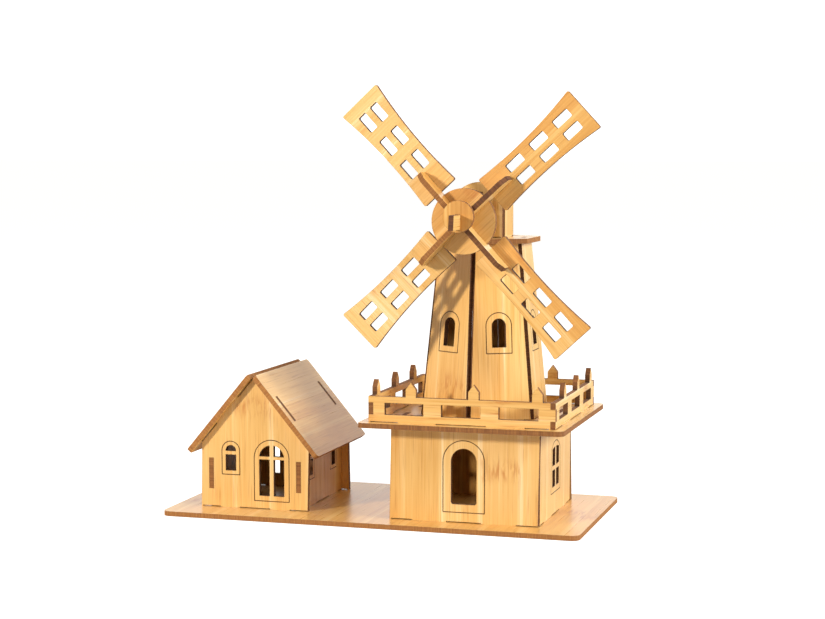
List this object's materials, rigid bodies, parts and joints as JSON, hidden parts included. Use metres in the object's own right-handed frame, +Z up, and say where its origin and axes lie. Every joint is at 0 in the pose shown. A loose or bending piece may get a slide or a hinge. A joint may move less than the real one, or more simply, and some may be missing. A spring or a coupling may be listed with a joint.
{
  "type": "wooden 3d jigsaw model",
  "caption": "Slot-together wooden windmill with turning sails, a railed gallery and a small gabled cottage on a shared base plate.",
  "frame": {"origin": "centre of the base plate's underside", "axes": "+Z up, +X towards the windmill's right-hand side along the base's length, -Y out of the front, towards the sails"},
  "size_m": [0.2635, 0.1406, 0.2577],
  "materials": {
    "wall_ply": "bare bamboo ply, laser-cut, edges charred dark brown",
    "plate_ply": "bare bamboo ply with short strips showing, edges charred",
    "roof_ply": "bare bamboo ply, laser-cut, edges charred dark brown",
    "rotor_ply": "bare bamboo ply, laser-cut, edges charred dark brown"
  },
  "bodies": {
    "mill": {"base_plate": "plate_ply", "gallery_plate": "plate_ply", "head_back_panel": "wall_ply", "head_front_panel": "wall_ply", "head_left_wall": "wall_ply", "head_right_wall": "wall_ply", "head_slat_left": "roof_ply", "head_slat_middle": "roof_ply", "head_slat_right": "roof_ply", "house_back_wall": "wall_ply", "house_front_wall": "wall_ply", "house_left_wall": "wall_ply", "house_right_wall": "wall_ply", "house_roof_left": "roof_ply", "house_roof_right": "roof_ply", "mill_back_wall": "wall_ply", "mill_front_wall": "wall_ply", "mill_left_wall": "wall_ply", "mill_right_wall": "wall_ply", "rail_back": "wall_ply", "rail_front": "wall_ply", "rail_left": "wall_ply", "rail_right": "wall_ply", "tower_panel_back_left": "wall_ply", "tower_panel_back_right": "wall_ply", "tower_panel_front_left": "wall_ply", "tower_panel_front_right": "wall_ply", "tower_panel_left": "wall_ply", "tower_panel_right": "wall_ply", "tower_top_plate": "plate_ply"},
    "rotor": {"front_inner_thrust_disc": "rotor_ply", "front_journal_disc": "rotor_ply", "front_thrust_disc": "rotor_ply", "hub_disc": "rotor_ply", "nose_disc": "rotor_ply", "rear_inner_thrust_disc": "rotor_ply", "rear_journal_disc": "rotor_ply", "rear_thrust_disc": "rotor_ply", "sail_1": "rotor_ply", "sail_2": "rotor_ply", "sail_3": "rotor_ply", "sail_4": "rotor_ply", "sail_bracket_1": "rotor_ply", "sail_bracket_2": "rotor_ply", "sail_bracket_3": "rotor_ply", "sail_bracket_4": "rotor_ply", "shaft_strip": "rotor_ply", "shaft_wedge": "rotor_ply"}
  },
  "joints": [
    {"name": "sails_turn", "type": "hinge", "parent": "mill", "child": "rotor", "pos_m": [0.0571, 0, 0.1796], "axis": [0, -1, 0], "continuous": true}
  ]
}
